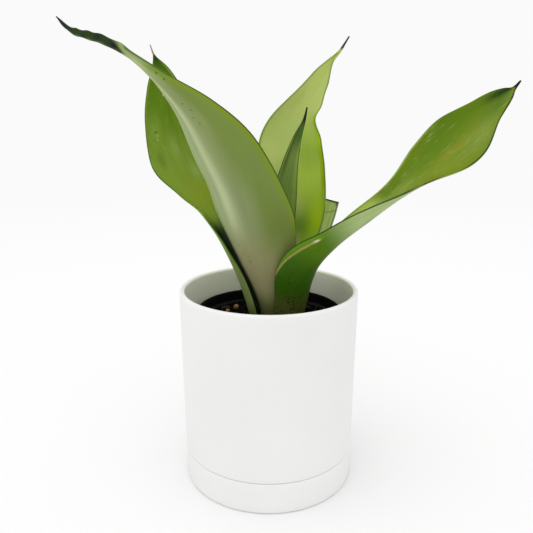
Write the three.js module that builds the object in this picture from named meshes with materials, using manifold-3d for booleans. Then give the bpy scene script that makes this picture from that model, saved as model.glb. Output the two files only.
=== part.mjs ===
// A potted snake plant: six stiff leaves rising from one rhizome, in a black nursery pot that stands
// loose inside a white ceramic cylinder, which nests in its own matching saucer.
// Millimetres, +Z up. The origin is on the pot's axis at the surface that the saucer stands on,
// +X is to the right and -Y is the front.
import * as THREE from "three";
import { mergeVertices } from "three/addons/utils/BufferGeometryUtils.js";
import Module from "manifold-3d";

const wasm = await Module();
wasm.setup();

// Ceramic cylinder and saucer. Together they read as one straight-sided pot with a seam near the foot.
const potHeight = 142;
const potTopRadius = 63.5;
const wallTaper = 1.6; // the foot is this much smaller in radius than the rim
const planterWall = 3.6;
const planterFloor = 8;
const footRecess = 2.5;
const footRingWidth = 9;
const drainRadius = 7;
const saucerHeight = 23;
const saucerWall = 4;
const saucerFloor = 5;
const lipRound = Math.min(1.7, planterWall * 0.48);
const footRound = Math.min(1.6, saucerWall * 0.45);
const seamRound = Math.min(0.7, saucerWall * 0.3);

// Nursery pot: the thin grower's pot that the plant was sold in. It hangs clear of the planter's wall
// by a finger's width, and its rim sits a little below the planter's lip.
const fingerGap = 7.9;
const rimDrop = 16;
const nurseryTaper = 12;
const nurseryWall = 1.4;
const nurseryFloor = 1.8;
const rimBandHeight = 9;
const rimBandStep = 1.6;
const nurseryHoleRadius = 4;
const nurseryHoleCount = 8;
const nurseryHoleInset = 12;

// Potting soil, measured down from the nursery pot's rim.
const soilDrop = 11.5;
const soilMound = 2;

// Plant: where the leaves leave the rhizome, below the middle of the soil surface. The plant spreads
// with the soil that it grows in, and its leaves keep their thickness.
const leafBaseDepth = 8;
const laidOutFor = 48.45; // the soil radius that the leaves below are laid out for
const rhizomeRadius = 7.5;
const rhizomeLength = 34;
const rootRadius = 1.3;
const rootCount = 7;
const rootSpread = 24;
const rootClear = 22; // from the deepest root end down to the nursery pot's floor

// Clearances.
const nestGap = 0.6; // planter foot inside the saucer wall
const seatGap = 0.3; // one piece standing on another
const packGap = 0.3; // soil round the wall, the rhizome and the leaf bases
const restGap = 0.2; // crumbs lying on the soil

// Sizes and places that follow from the ones above.
const potFootRadius = potTopRadius - wallTaper;
const nurseryRimRadius = potTopRadius - planterWall - fingerGap;
const nurseryFootRadius = nurseryRimRadius - nurseryTaper;
const planterFootZ = saucerFloor + seatGap;
const planterFloorZ = planterFootZ + planterFloor;
const nurseryFootZ = planterFloorZ + seatGap;
const nurseryRimZ = potHeight - rimDrop;
const nurseryHeight = nurseryRimZ - nurseryFootZ;
const soilEdgeZ = nurseryRimZ - soilDrop;
const soilTopZ = soilEdgeZ + soilMound;
const soilFloorZ = nurseryFootZ + nurseryFloor + packGap;
const leafBaseZ = soilTopZ - leafBaseDepth;
const wallRadius = (z) => potFootRadius + ((potTopRadius - potFootRadius) * z) / potHeight;

const materials = {
  ceramic: { color: 0xf1efec, roughness: 0.55, metalness: 0 },
  plastic: { color: 0x17181a, roughness: 0.45, metalness: 0 },
  soil: { color: 0x221a13, roughness: 0.95, metalness: 0 },
  rhizome: { color: 0xc9a56a, roughness: 0.7, metalness: 0 },
  silver: { color: 0x9aa884, roughness: 0.4, metalness: 0 },
  green: { color: 0x6d8f2e, roughness: 0.42, metalness: 0 },
  lime: { color: 0x9bb552, roughness: 0.42, metalness: 0 },
  dark: { color: 0x42601f, roughness: 0.42, metalness: 0 },
  prill: { color: 0xb98a3a, roughness: 0.5, metalness: 0 },
  bark: { color: 0x6b4a2c, roughness: 0.9, metalness: 0 },
  perlite: { color: 0xcfc8ba, roughness: 0.9, metalness: 0 },
};

const plant = new THREE.Group();

function add(name, geometry, look) {
  const mesh = new THREE.Mesh(geometry, new THREE.MeshStandardMaterial(materials[look]));
  mesh.name = name;
  plant.add(mesh);
  return mesh;
}

// A turned body: the profile is a path of (radius, height), and the lathe's axis is stood up along +Z.
function turned(profile, steps = 48) {
  return new THREE.LatheGeometry(profile.getPoints(2), steps).rotateX(Math.PI / 2);
}

function toSolid(geometry) {
  const plain = geometry.clone();
  plain.deleteAttribute("normal");
  plain.deleteAttribute("uv");
  const merged = mergeVertices(plain, 1e-3);
  const vertProperties = new Float32Array(merged.attributes.position.array);
  const triVerts = new Uint32Array(merged.index.array);
  return new wasm.Manifold(new wasm.Mesh({ numProp: 3, vertProperties, triVerts }));
}

function toGeometry(solid) {
  const mesh = solid.getMesh();
  const geometry = new THREE.BufferGeometry();
  geometry.setAttribute("position", new THREE.BufferAttribute(mesh.vertProperties, 3));
  geometry.setIndex(new THREE.BufferAttribute(mesh.triVerts, 1));
  geometry.computeVertexNormals();
  return geometry;
}

// Saucer: a shallow cup whose wall carries on the line of the planter's wall.
function saucer() {
  const foot = wallRadius(0);
  const rim = wallRadius(saucerHeight);
  const inside = rim - saucerWall;
  const profile = new THREE.Path();
  profile.moveTo(0, 0);
  profile.lineTo(foot - footRound, 0);
  profile.absarc(foot - footRound, footRound, footRound, -Math.PI / 2, 0);
  profile.lineTo(rim, saucerHeight - seamRound);
  profile.absarc(rim - seamRound, saucerHeight - seamRound, seamRound, 0, Math.PI / 2);
  profile.lineTo(inside + seamRound, saucerHeight);
  profile.absarc(inside + seamRound, saucerHeight - seamRound, seamRound, Math.PI / 2, Math.PI);
  profile.lineTo(inside, saucerFloor + footRound);
  profile.absarc(inside - footRound, saucerFloor + footRound, footRound, 0, -Math.PI / 2, true);
  profile.lineTo(0, saucerFloor);
  return turned(profile);
}

// Planter: a stepped foot that drops into the saucer, a shoulder over the saucer's rim, a rounded lip
// and a drainage hole in the middle of the floor.
function planter() {
  const step = wallRadius(saucerHeight) - saucerWall - nestGap;
  const shoulderZ = saucerHeight + seatGap;
  const shoulder = wallRadius(shoulderZ);
  const inside = (z) => wallRadius(z) - planterWall;
  const lip = potTopRadius - lipRound;
  const lipInside = inside(potHeight) + lipRound;
  const floorInside = Math.min(inside(planterFloorZ), step - planterWall);
  const bodyFloorZ = shoulderZ + planterWall;
  const profile = new THREE.Path();
  profile.moveTo(drainRadius, planterFootZ + footRecess);
  profile.lineTo(step - footRingWidth, planterFootZ + footRecess);
  profile.lineTo(step - footRingWidth, planterFootZ);
  profile.lineTo(step - footRound, planterFootZ);
  profile.absarc(step - footRound, planterFootZ + footRound, footRound, -Math.PI / 2, 0);
  profile.lineTo(step, shoulderZ);
  profile.lineTo(shoulder - seamRound, shoulderZ);
  profile.absarc(shoulder - seamRound, shoulderZ + seamRound, seamRound, -Math.PI / 2, 0);
  profile.lineTo(potTopRadius, potHeight - lipRound);
  profile.absarc(lip, potHeight - lipRound, lipRound, 0, Math.PI / 2);
  profile.absarc(lipInside, potHeight - lipRound, lipRound, Math.PI / 2, Math.PI);
  profile.lineTo(inside(bodyFloorZ), bodyFloorZ);
  profile.lineTo(floorInside, bodyFloorZ - planterWall);
  profile.lineTo(floorInside, planterFloorZ + footRound);
  profile.absarc(floorInside - footRound, planterFloorZ + footRound, footRound, 0, -Math.PI / 2, true);
  profile.lineTo(drainRadius, planterFloorZ);
  profile.closePath();
  return turned(profile);
}

// Nursery pot: straight taper, a stepped-out rim band, and drain holes round the floor.
const nurseryNeck = nurseryRimRadius - rimBandStep;
const nurseryOuter = (z) =>
  nurseryFootRadius +
  ((nurseryNeck - nurseryFootRadius) * (z - nurseryFootZ)) / (nurseryHeight - rimBandHeight);

function nurseryPot() {
  const bandZ = nurseryRimZ - rimBandHeight;
  const floorZ = nurseryFootZ + nurseryFloor;
  const rimRound = nurseryWall / 2;
  const profile = new THREE.Path();
  profile.moveTo(0, nurseryFootZ);
  profile.lineTo(nurseryFootRadius, nurseryFootZ);
  profile.lineTo(nurseryNeck, bandZ);
  profile.lineTo(nurseryRimRadius, bandZ);
  profile.lineTo(nurseryRimRadius, nurseryRimZ - rimRound);
  profile.absarc(nurseryRimRadius - rimRound, nurseryRimZ - rimRound, rimRound, 0, Math.PI);
  profile.lineTo(nurseryRimRadius - nurseryWall, bandZ + nurseryWall);
  profile.lineTo(nurseryOuter(bandZ) - nurseryWall, bandZ);
  profile.lineTo(nurseryOuter(floorZ) - nurseryWall, floorZ);
  profile.lineTo(0, floorZ);
  let pot = toSolid(turned(profile, 40));
  for (let i = 0; i < nurseryHoleCount; i += 1) {
    const turn = (i * 2 * Math.PI) / nurseryHoleCount;
    const reach = nurseryFootRadius - nurseryHoleInset;
    const drill = new THREE.CylinderGeometry(nurseryHoleRadius, nurseryHoleRadius, nurseryFloor * 4, 20);
    drill.rotateX(Math.PI / 2);
    drill.translate(reach * Math.cos(turn), reach * Math.sin(turn), nurseryFootZ);
    pot = pot.subtract(toSolid(drill));
  }
  return toGeometry(pot);
}

// The soil surface: its radius where it meets the pot's wall, and its height at a radius.
const soilRadius = (z) => nurseryOuter(z) - nurseryWall - packGap;
const soilRim = soilRadius(soilEdgeZ);
const soilHeight = (radius) => soilEdgeZ + soilMound * (1 - (radius / soilRim) ** 2);

// Leaves. Each is a curved blade, thick along its midrib and thin at its margins, and rolled into a
// gutter towards its base. A station gives the spine point (x right, y back, z above the leaf base),
// the half width measured round the blade, the way its inner face looks (azimuth, elevation) and the
// angle that each half of the blade is rolled through. A bump pushes one margin in or out.
const acrossSteps = 6;
const leaves = [
  {
    name: "leaf_front_silver",
    look: "silver",
    along: 24,
    thickness: { base: 3, tip: 2, margin: 1 },
    bumps: [
      { where: 0.44, span: 0.06, side: -1, out: 2 },
    ],
    stations: [
      { at: [2, -4, 0], half: 12, face: [60, 0], roll: 80 },
      { at: [-2, -8, 27], half: 19, face: [58, 10], roll: 75 },
      { at: [-10, -14, 55], half: 31, face: [58, 15], roll: 66 },
      { at: [-17, -22, 82], half: 36, face: [60, 20], roll: 55 },
      { at: [-23, -31, 107], half: 31, face: [64, 20], roll: 50 },
      { at: [-32, -38, 130], half: 24, face: [72, 20], roll: 46 },
      { at: [-45, -43, 153], half: 14, face: [80, 20], roll: 42 },
      { at: [-61, -45, 170.5], half: 6, face: [86, 20], roll: 42 },
      { at: [-77, -47, 184], half: 2.6, face: [90, 25], roll: 55 },
      { at: [-90, -49, 191.5], half: 3.1, face: [75, 40], roll: 60 },
      { at: [-102, -50, 195.5], half: 3.3, face: [60, 50], roll: 60 },
      { at: [-111, -51, 198.5], half: 1.7, face: [70, 40], roll: 50 },
      { at: [-119, -52, 206], half: 0.4, face: [90, 20], roll: 20 },
    ],
  },
  {
    name: "leaf_left_back",
    look: "green",
    along: 24,
    thickness: { base: 3, tip: 2, margin: 1 },
    bumps: [
      { where: 0.42, span: 0.05, side: -1, out: 3.5 },
      { where: 0.31, span: 0.025, side: -1, out: -2 },
      { where: 0.68, span: 0.08, side: 1, out: 1.5 },
    ],
    stations: [
      { at: [-9, 5, 0], half: 12, face: [-20, 0], roll: 80 },
      { at: [-16, 8, 27], half: 17, face: [-22, 5], roll: 72 },
      { at: [-25, 13, 53], half: 21, face: [-28, 10], roll: 60 },
      { at: [-36, 18, 78], half: 24, face: [-36, 20], roll: 50 },
      { at: [-52, 24, 102], half: 24, face: [-50, 25], roll: 38 },
      { at: [-65, 29, 126], half: 24, face: [-64, 20], roll: 30 },
      { at: [-72, 32, 149], half: 19, face: [-72, 15], roll: 28 },
      { at: [-76, 34, 171], half: 12, face: [-75, 10], roll: 25 },
      { at: [-78, 34.6, 183.5], half: 6.2, face: [-78, 10], roll: 22 },
      { at: [-81, 35.3, 192.5], half: 1.3, face: [-80, 10], roll: 15 },
      { at: [-82.5, 35.6, 196.5], half: 0.6, face: [-80, 10], roll: 12 },
      { at: [-84, 36, 201], half: 0.4, face: [-80, 10], roll: 10 },
    ],
  },
  {
    name: "leaf_right_back",
    look: "lime",
    along: 22,
    thickness: { base: 3, tip: 2, margin: 1 },
    bumps: [
      { where: 0.59, span: 0.04, side: 1, out: -6 },
      { where: 0.66, span: 0.03, side: 1, out: -1.5 },
      { where: 0.64, span: 0.06, side: -1, out: -2 },
      { where: 0.48, span: 0.06, side: -1, out: 1.5 },
    ],
    stations: [
      { at: [12, 14, 0], half: 11, face: [-95, 0], roll: 70 },
      { at: [15, 18, 32], half: 15, face: [-92, 5], roll: 70 },
      { at: [18, 24, 60], half: 20, face: [-92, 5], roll: 65 },
      { at: [20, 28, 87], half: 26, face: [-95, 5], roll: 60 },
      { at: [18, 32, 112], half: 27, face: [-97, 5], roll: 52 },
      { at: [18, 35, 135], half: 24, face: [-100, 5], roll: 45 },
      { at: [25, 37, 156], half: 17, face: [-95, 5], roll: 38 },
      { at: [36.5, 39, 178], half: 7.8, face: [-90, 5], roll: 30 },
      { at: [44, 40, 190], half: 2.4, face: [-90, 5], roll: 20 },
      { at: [50.5, 40, 197], half: 1.1, face: [-90, 5], roll: 10 },
      { at: [57, 40, 207], half: 0.5, face: [-90, 5], roll: 10 },
    ],
  },
  {
    name: "leaf_young_centre",
    look: "dark",
    along: 14,
    thickness: { base: 2.2, tip: 1.6, margin: 0.9 },
    bumps: [],
    stations: [
      { at: [7, 5, 0], half: 5, face: [-80, 0], roll: 60 },
      { at: [7, 5, 37], half: 8, face: [-80, 0], roll: 60 },
      { at: [8, 6, 67], half: 10, face: [-80, 0], roll: 55 },
      { at: [10, 8, 95], half: 10, face: [-80, 0], roll: 50 },
      { at: [14, 9, 118], half: 6.6, face: [-80, 0], roll: 45 },
      { at: [19, 10, 136], half: 3.5, face: [-85, 0], roll: 40 },
      { at: [24, 10, 149], half: 1.2, face: [-90, 0], roll: 20 },
      { at: [26, 10, 158], half: 0.5, face: [-90, 0], roll: 10 },
    ],
  },
  {
    name: "leaf_right_arching",
    look: "green",
    along: 26,
    thickness: { base: 3, tip: 2, margin: 1 },
    bumps: [
      { where: 0.56, span: 0.05, side: 1, out: 3 },
      { where: 0.69, span: 0.08, side: 1, out: -3 },
      { where: 0.37, span: 0.07, side: -1, out: -5.5 },
      { where: 0.78, span: 0.07, side: -1, out: 2 },
    ],
    stations: [
      { at: [17, -13, 0], half: 15, face: [118, 0], roll: 85 },
      { at: [19, -18, 27], half: 17, face: [118, 5], roll: 80 },
      { at: [26, -24, 50], half: 22, face: [124, 25], roll: 80 },
      { at: [44, -24, 69], half: 18, face: [148, 45], roll: 75 },
      { at: [66, -19, 85.5], half: 18, face: [178, 50], roll: 66 },
      { at: [90, -11, 104], half: 15, face: [212, 45], roll: 44 },
      { at: [111, -5, 120], half: 21, face: [228, 35], roll: 40 },
      { at: [131, 0, 137], half: 22.5, face: [238, 25], roll: 28 },
      { at: [148, 3, 155], half: 12, face: [242, 20], roll: 22 },
      { at: [159, 4, 166], half: 5, face: [240, 20], roll: 18 },
      { at: [163, 4, 170], half: 1.6, face: [235, 20], roll: 15 },
      { at: [167, 4, 175], half: 0.6, face: [235, 20], roll: 10 },
    ],
  },
  {
    name: "leaf_cut_stub",
    look: "silver",
    along: 8,
    thickness: { base: 2.4, tip: 1.8, margin: 1.2 },
    bumps: [],
    stations: [
      { at: [23, 18, 0], half: 8, face: [215, 0], roll: 60 },
      { at: [30, 27, 32], half: 11, face: [215, 0], roll: 55 },
      { at: [39, 33, 60], half: 12, face: [217, 0], roll: 50 },
      { at: [45, 37, 77], half: 10, face: [220, 0], roll: 45 },
      { at: [49, 39, 90], half: 8, face: [220, 0], roll: 40 },
    ],
  },
];

const rad = THREE.MathUtils.degToRad;
const plantSpread = soilRim / laidOutFor;
const smooth = (points) => new THREE.CatmullRomCurve3(points, false, "catmullrom", 0.5);

// The leaf's frame at a share t of its length: spine point, side and inner-face directions, size.
function leafFrame(leaf) {
  const spread = new THREE.Vector3(plantSpread, plantSpread, 1);
  const spine = smooth(leaf.stations.map((s) => new THREE.Vector3(...s.at).multiply(spread)));
  const shape = smooth(leaf.stations.map((s) => new THREE.Vector3(s.half * plantSpread, rad(s.roll), 0)));
  const facing = smooth(leaf.stations.map((s) => new THREE.Vector3(rad(s.face[0]), rad(s.face[1]), 0)));
  return (t) => {
    const along = spine.getTangent(t);
    const [turn, tilt] = facing.getPoint(t).toArray();
    const flat = Math.cos(tilt);
    const inner = new THREE.Vector3(Math.cos(turn) * flat, Math.sin(turn) * flat, Math.sin(tilt));
    inner.addScaledVector(along, -inner.dot(along)).normalize();
    const side = new THREE.Vector3().crossVectors(along, inner);
    const [half, roll] = shape.getPoint(t).toArray();
    return { at: spine.getPoint(t), side, inner, half: Math.max(half, 0.05), roll };
  };
}

// A closed blade: a box whose width is bent round the roll and whose length follows the spine.
// extra is added all round, which makes the pocket that the leaf's base stands in.
function blade(leaf, extra = 0) {
  const frame = leafFrame(leaf);
  const geometry = new THREE.BoxGeometry(1, 1, 1, acrossSteps, 1, leaf.along);
  const position = geometry.attributes.position;
  const { base, tip, margin } = leaf.thickness;
  for (let i = 0; i < position.count; i += 1) {
    const t = position.getZ(i) + 0.5;
    const s = -position.getX(i) * 2;
    const { at, side, inner, half, roll } = frame(t);
    const width = half + extra;
    const angle = (roll * s * width) / half;
    const bend = half / roll;
    let across = bend * Math.sin(angle);
    const rise = bend * (1 - Math.cos(angle));
    for (const bump of leaf.bumps) {
      const near = Math.exp(-(((t - bump.where) / bump.span) ** 2));
      across += bump.side * bump.out * plantSpread * near * Math.max(s * bump.side, 0) ** 2;
    }
    const midrib = base + (tip - base) * t;
    const thick = margin + (midrib - margin) * (1 - s * s);
    const lift = Math.sign(position.getY(i)) * (thick / 2 + extra);
    const point = at.clone();
    point.addScaledVector(side, across - lift * Math.sin(angle));
    point.addScaledVector(inner, rise + lift * Math.cos(angle));
    if (t === 0) point.z -= extra;
    position.setXYZ(i, point.x, point.y, point.z + leafBaseZ);
  }
  return geometry;
}

// Rhizome: a short thick underground stem lying under the leaf bases, with roots reaching down.
const crownX = 7 * plantSpread;
const crownY = 3 * plantSpread;
const rhizomeZ = leafBaseZ - seatGap - rhizomeRadius;
const rootDip = 2; // the roots leave the rhizome a little below its middle
const rootReach = rhizomeZ - rootDip - soilFloorZ - rootClear;

function tube(points, radius, steps, sides) {
  const ring = new THREE.Shape().absarc(0, 0, radius, 0, Math.PI * 2);
  const path = smooth(points.map((p) => new THREE.Vector3(...p)));
  const options = { steps, curveSegments: sides / 2, bevelEnabled: false, extrudePath: path };
  return new THREE.ExtrudeGeometry(ring, options);
}

function rhizome(extra = 0) {
  const stem = new THREE.CapsuleGeometry(rhizomeRadius + extra, rhizomeLength - 2 * rhizomeRadius, 3, 12);
  stem.rotateZ(Math.PI / 2 + rad(20));
  stem.translate(crownX, crownY, rhizomeZ);
  let body = toSolid(stem);
  for (let i = 0; i < rootCount; i += 1) {
    const turn = rad(25) + (i * 2 * Math.PI) / rootCount;
    const out = rootSpread * plantSpread * (0.75 + 0.25 * Math.cos(2.3 * i));
    const down = rootReach * (0.8 + 0.2 * Math.cos(1.7 * i));
    const reach = (share, bend) => [
      crownX * (1 - share) + out * share * Math.cos(turn + bend),
      crownY * (1 - share) + out * share * Math.sin(turn + bend),
      rhizomeZ - down * share * share - rootDip * share,
    ];
    const points = [reach(0.12, 0), reach(0.45, 0.15), reach(0.75, -0.1), reach(1, 0.1)];
    const tip = new THREE.SphereGeometry(rootRadius + extra, 8, 6).translate(...points.at(-1));
    body = body.add(toSolid(tube(points, rootRadius + extra, 6, 6))).add(toSolid(tip));
  }
  return body;
}

// Potting soil: fills the nursery pot to a low mound, with the plant's own shape left out of it.
function soil(leafPockets) {
  const rings = 5;
  const profile = new THREE.Path();
  profile.moveTo(0, soilFloorZ);
  profile.lineTo(soilRadius(soilFloorZ), soilFloorZ);
  profile.lineTo(soilRim, soilEdgeZ);
  for (let i = 1; i <= rings; i += 1) {
    const radius = soilRim * (1 - i / rings);
    profile.lineTo(radius, soilHeight(radius));
  }
  let body = toSolid(turned(profile, 40));
  for (const pocket of leafPockets) body = body.subtract(pocket);
  return toGeometry(body);
}

// Crumbs lying on the soil: slow-release feed prills, bark chips, perlite grains and one dry twig.
// A spot is a share of the soil's radius and a bearing from +X.
const crumbs = [
  { name: "feed_prill_1", look: "prill", spot: [0.76, 133], size: [4.6, 4.6, 4.4], turn: 0 },
  { name: "feed_prill_2", look: "prill", spot: [0.76, 148], size: [3.4, 3.4, 3.2], turn: 0 },
  { name: "feed_prill_3", look: "prill", spot: [0.92, 58], size: [3.8, 3.6, 3.4], turn: 0 },
  { name: "feed_prill_4", look: "prill", spot: [0.64, -105], size: [4, 4, 3.8], turn: 0 },
  { name: "bark_chip_1", look: "bark", spot: [0.89, 140], size: [7, 4.5, 2.6], turn: 25 },
  { name: "bark_chip_2", look: "bark", spot: [0.87, 47], size: [8, 4, 2.4], turn: -40 },
  { name: "bark_chip_3", look: "bark", spot: [0.68, -128], size: [7, 5, 2.4], turn: 60 },
  { name: "bark_chip_4", look: "bark", spot: [0.78, -36], size: [8, 4, 2.6], turn: 60 },
  { name: "perlite_grain_1", look: "perlite", spot: [0.92, 72], size: [3.4, 3, 2.6], turn: 40 },
  { name: "perlite_grain_2", look: "perlite", spot: [0.75, -170], size: [3, 2.6, 2.4], turn: 10 },
];
const twigLength = 8;
const twigRadius = 0.8;
const twigLean = 40;
const twigSpot = [0.88, 32];

function place(mesh, [share, bearing], spread, sink) {
  const radius = soilRim * share;
  const height = soilHeight(Math.max(radius - spread, 0)) + restGap - sink;
  mesh.position.set(radius * Math.cos(rad(bearing)), radius * Math.sin(rad(bearing)), height);
}

function crumb({ name, look, spot, size, turn }) {
  const round = look === "prill";
  const geometry = round ? new THREE.SphereGeometry(0.5, 10, 6) : new THREE.DodecahedronGeometry(0.55);
  geometry.scale(...size);
  geometry.computeBoundingBox();
  const mesh = add(name, geometry, look);
  mesh.rotation.z = rad(turn);
  place(mesh, spot, Math.hypot(size[0], size[1]) / 2, geometry.boundingBox.min.z);
}

function twig() {
  const geometry = new THREE.CylinderGeometry(twigRadius * 0.6, twigRadius, twigLength, 8);
  geometry.rotateX(Math.PI / 2 - rad(twigLean));
  geometry.computeBoundingBox();
  const mesh = add("dry_twig", geometry, "bark");
  mesh.rotation.z = rad(twigSpot[1]);
  place(mesh, twigSpot, twigLength / 2, geometry.boundingBox.min.z);
}

add("saucer", saucer(), "ceramic");
add("planter", planter(), "ceramic");
add("nursery_pot", nurseryPot(), "plastic");
const pockets = leaves.map((leaf) => toSolid(blade(leaf, packGap)));
pockets.push(rhizome(packGap));
add("potting_soil", soil(pockets), "soil");
add("rhizome_and_roots", toGeometry(rhizome()), "rhizome");
for (const leaf of leaves) add(leaf.name, blade(leaf), leaf.look);
crumbs.forEach(crumb);
twig();

export default plant;
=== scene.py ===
"""Potted snake plant: six stiff leaves, a black grower's pot and a white ceramic cylinder in its saucer.

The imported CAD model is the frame. Shapes below are worked out in millimetres and put into meshes in
metres. +X is to the right, -Y is the front and the saucer stands on z = 0.
"""

import math

import bpy
import numpy as np
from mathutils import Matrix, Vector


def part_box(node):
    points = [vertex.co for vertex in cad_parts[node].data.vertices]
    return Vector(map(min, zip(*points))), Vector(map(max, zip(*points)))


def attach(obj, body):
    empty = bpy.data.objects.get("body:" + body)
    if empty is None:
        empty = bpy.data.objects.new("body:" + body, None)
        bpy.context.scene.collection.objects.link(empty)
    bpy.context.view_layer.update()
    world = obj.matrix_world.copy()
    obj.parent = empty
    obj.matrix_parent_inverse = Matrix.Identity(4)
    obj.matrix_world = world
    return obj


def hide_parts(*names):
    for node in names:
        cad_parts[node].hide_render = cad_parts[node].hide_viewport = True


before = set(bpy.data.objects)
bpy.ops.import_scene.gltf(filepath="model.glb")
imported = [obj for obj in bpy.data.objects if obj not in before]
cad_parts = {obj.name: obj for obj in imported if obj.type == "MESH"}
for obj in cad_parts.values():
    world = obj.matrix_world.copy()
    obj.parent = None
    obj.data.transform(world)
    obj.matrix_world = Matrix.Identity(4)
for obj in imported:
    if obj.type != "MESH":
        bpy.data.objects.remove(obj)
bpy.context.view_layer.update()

MM = 0.001


def box_mm(node):
    """Lowest and highest corner of a CAD node, in millimetres."""
    low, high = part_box(node)
    return np.array(low) / MM, np.array(high) / MM


# -------- sizes
saucer_high = box_mm("saucer")[1]
planter_low, planter_high = box_mm("planter")
grower_low, grower_high = box_mm("nursery_pot")
soil_low, soil_high = box_mm("potting_soil")

POT_HEIGHT = planter_high[2]
TOP_RADIUS = planter_high[0]
WALL_TAPER = 1.6
PLANTER_WALL = 3.6
PLANTER_FLOOR = 8
FOOT_RECESS = 2.5
FOOT_RING = 9
DRAIN_RADIUS = 7
SAUCER_WALL = 4
SAUCER_FLOOR = 5
NEST_GAP = 0.6
SEAT_GAP = 0.3
LIP_ROUND = 1.7
FOOT_ROUND = 1.6
SEAM_ROUND = 0.7

GROWER_RADIUS = grower_high[0]
GROWER_TAPER = 12
GROWER_WALL = 1.4
GROWER_FLOOR = 1.8
RIM_BAND = 9
RIM_STEP = 1.6
HOLE_RADIUS = 4
HOLE_COUNT = 8
HOLE_INSET = 12

SOIL_MOUND = 2
SOIL_EDGE = soil_high[2] - SOIL_MOUND
LEAF_BASE = soil_high[2] - 8


def wall_radius(z):
    """Outside radius of the ceramic at a height: a straight taper from foot to lip."""
    return TOP_RADIUS - WALL_TAPER * (1 - z / POT_HEIGHT)


def grower_radius(z):
    """Outside radius of the grower's pot below its rim band: a straight taper."""
    rise = (z - grower_low[2]) / (grower_high[2] - RIM_BAND - grower_low[2])
    foot = GROWER_RADIUS - GROWER_TAPER
    return foot + (GROWER_TAPER - RIM_STEP) * rise


SOIL_RADIUS = grower_radius(SOIL_EDGE) - GROWER_WALL - 0.3


def soil_height(radius):
    """Height of the smooth soil mound: edge height plus a paraboloid."""
    return SOIL_EDGE + SOIL_MOUND * (1 - (radius / SOIL_RADIUS) ** 2)


# -------- mesh from grids
def skin(name, grid, around=True, ring=False, start="open", end="open", marks=None, crease=40):
    """A mesh from grid[i, j], where i runs along the piece and j round it.

    around joins the last j to the first, ring joins the last i to the first, and an end that is
    "point" is one shared vertex. The faces are turned outwards by the sign of the body's volume.
    marks holds named arrays over the grid, which become point attributes.
    """
    rows, columns = grid.shape[:2]
    number = np.arange(rows * columns).reshape(rows, columns)
    if start == "point":
        number[0] = number[0, 0]
    if end == "point":
        number[-1] = number[-1, 0]
    lower = number if ring else number[:-1]
    upper = np.roll(number, -1, 0) if ring else number[1:]
    pick = slice(None) if around else slice(0, -1)
    quads = np.stack(
        [side[:, pick] for side in (lower, np.roll(lower, -1, 1), np.roll(upper, -1, 1), upper)], -1
    ).reshape(-1, 4)
    return knit(name, grid.reshape(-1, 3), quads, marks, crease)


def knit(name, points, quads, marks=None, crease=40):
    """A mesh from points in millimetres and four-cornered faces. A doubled corner makes a triangle."""
    twin = [quads[:, k] == quads[:, (k + 1) % 4] for k in range(4)]
    flat = np.any(twin, 0)
    tris = np.concatenate([np.delete(quads[twin[k]], k, 1) for k in range(4)])
    quads = quads[~flat]
    used, back = np.unique(np.concatenate([quads.ravel(), tris.ravel()]), return_inverse=True)
    points = points[used]
    fans = back[: quads.size].reshape(-1, 4), back[quads.size :].reshape(-1, 3)
    volume = 0.0
    for corners in (fans[0][:, :3], fans[0][:, [0, 2, 3]], fans[1]):
        a, b, c = (points[corners[:, k]] for k in range(3))
        volume += np.einsum("ij,ij->i", a, np.cross(b, c)).sum()
    if volume < 0:
        fans = fans[0][:, ::-1], fans[1][:, ::-1]
    mesh = bpy.data.meshes.new(name)
    mesh.vertices.add(len(points))
    mesh.vertices.foreach_set("co", (points * MM).astype(np.float32).ravel())
    loops = np.concatenate([fans[0].ravel(), fans[1].ravel()]).astype(np.int32)
    totals = np.concatenate([np.full(len(fans[0]), 4), np.full(len(fans[1]), 3)]).astype(np.int32)
    mesh.loops.add(len(loops))
    mesh.loops.foreach_set("vertex_index", loops)
    mesh.polygons.add(len(totals))
    mesh.polygons.foreach_set("loop_start", (np.cumsum(totals) - totals).astype(np.int32))
    mesh.polygons.foreach_set("use_smooth", np.ones(len(totals), bool))
    mesh.update(calc_edges=True)
    mesh.set_sharp_from_angle(angle=math.radians(crease))
    for mark, values in (marks or {}).items():
        values = np.asarray(values, np.float32)
        kind, field, width = ("FLOAT", "value", 1) if values.ndim < 3 else ("FLOAT_VECTOR", "vector", 3)
        values = values.reshape(-1, width)[used]
        mesh.attributes.new(mark, kind, "POINT").data.foreach_set(field, values.ravel())
    piece = bpy.data.objects.new(name, mesh)
    bpy.context.scene.collection.objects.link(piece)
    return piece


def dress(piece, material, slot, *nodes):
    """Gives a piece its finish, the CAD nodes it stands for, and its place on the body. slot is not
    used.
    """
    piece.data.materials.append(material)
    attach(piece, "root")
    if nodes:
        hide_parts(*nodes)
    return piece


def lumps(points, size, seed, waves=28):
    """A smooth random field over points, about -1 to 1: a sum of cosine waves in random directions."""
    random = np.random.default_rng(seed)
    way = random.normal(size=(waves, 3))
    way /= np.linalg.norm(way, axis=1, keepdims=True)
    way *= 2 * np.pi / size * random.uniform(0.7, 1.4, (waves, 1))
    phase = random.uniform(0, 2 * np.pi, waves)
    return np.cos(points @ way.T + phase).sum(-1) * math.sqrt(2 / waves) / 1.6


def soften(x, low, high):
    """0 below low, 1 above high and a smooth step between."""
    x = np.clip((x - low) / (high - low), 0, 1)
    return x * x * (3 - 2 * x)


def bell(x, middle, width):
    """A bump of height 1 at middle that has fallen to a third at width."""
    return np.exp(-(((x - middle) / width) ** 2))


def blend(a, b, share):
    """Colours a towards b by share, over whole arrays."""
    share = np.asarray(share)[..., None]
    return a * (1 - share) + b * share


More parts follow.
